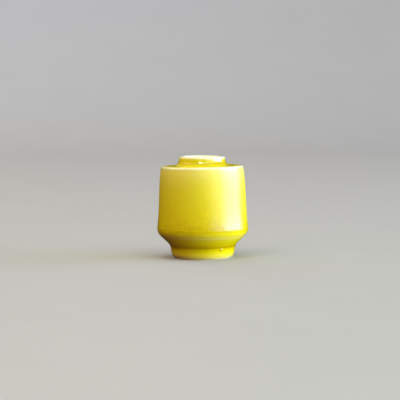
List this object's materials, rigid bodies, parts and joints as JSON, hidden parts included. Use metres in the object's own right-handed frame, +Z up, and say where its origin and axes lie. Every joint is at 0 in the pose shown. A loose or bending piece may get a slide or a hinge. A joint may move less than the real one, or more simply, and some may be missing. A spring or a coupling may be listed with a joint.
{
  "type": "miniature bud vase",
  "caption": "Small squat ceramic bud vase with a glossy yellow glaze, a flat shoulder, a short wide neck and a drawn-in foot; holds a few short stems.",
  "frame": {"origin": "centre of the foot's underside, on the surface the vase stands on", "axes": "+Z up the vase's axis of revolution, towards the mouth; -Y faces the viewer"},
  "size_m": [0.0448, 0.0448, 0.05],
  "materials": {
    "fired_clay": "matt biscuit",
    "yellow_glaze": "glossy",
    "liner_glaze": "glossy",
    "base_glaze": "glossy"
  },
  "bodies": {
    "root": {"clay_body": "fired_clay", "outer_glaze": "yellow_glaze", "liner_glaze": "liner_glaze", "base_glaze": "base_glaze"}
  },
  "joints": []
}
